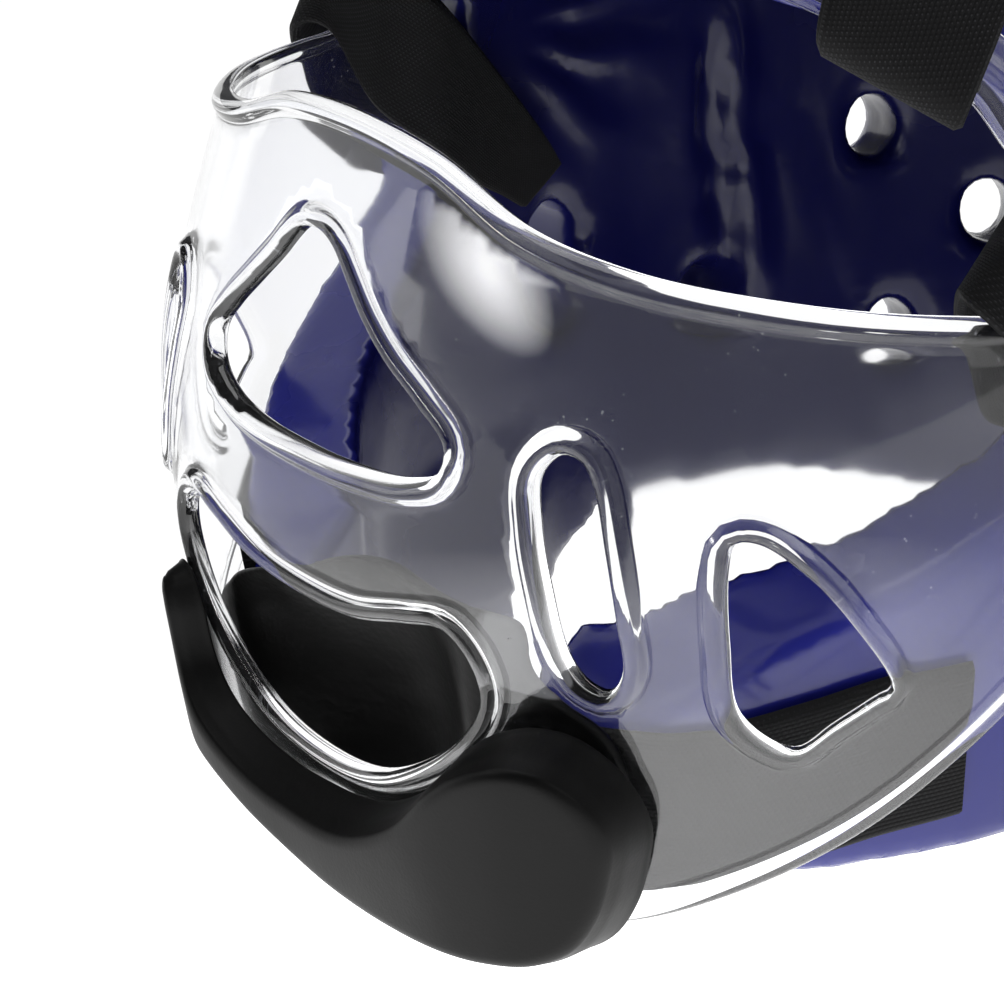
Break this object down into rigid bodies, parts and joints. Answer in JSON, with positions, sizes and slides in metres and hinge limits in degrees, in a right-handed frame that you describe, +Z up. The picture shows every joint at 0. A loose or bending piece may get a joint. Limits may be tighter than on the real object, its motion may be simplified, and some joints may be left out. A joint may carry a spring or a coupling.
{
  "type": "sparring headgear",
  "caption": "Thick dipped foam sparring headgear with a clear face shield, a chin bumper outside it, a dished chin cup inside it and elastic straps.",
  "frame": {"origin": "under the middle of the whole headgear, on the surface it stands on", "axes": "+Z up through the crown, -Y the way the face looks, +X to the wearer's left"},
  "size_m": [0.2182, 0.257, 0.28],
  "materials": {
    "foam": "glossy dipped vinyl skin over soft foam",
    "shield": "clear polished plastic with a faint haze",
    "bumper": "satin black moulded",
    "cup": "black grained vinyl",
    "elastic": "woven ribbed elastic"
  },
  "bodies": {
    "root": {"foam_headgear": "foam", "face_shield": "shield", "chin_bumper": "bumper", "chin_cup": "cup", "chin_strap_left": "elastic", "chin_strap_right": "elastic", "temple_strap_left": "elastic", "temple_strap_right": "elastic", "forehead_strap_left": "elastic", "forehead_strap_right": "elastic"}
  },
  "joints": []
}
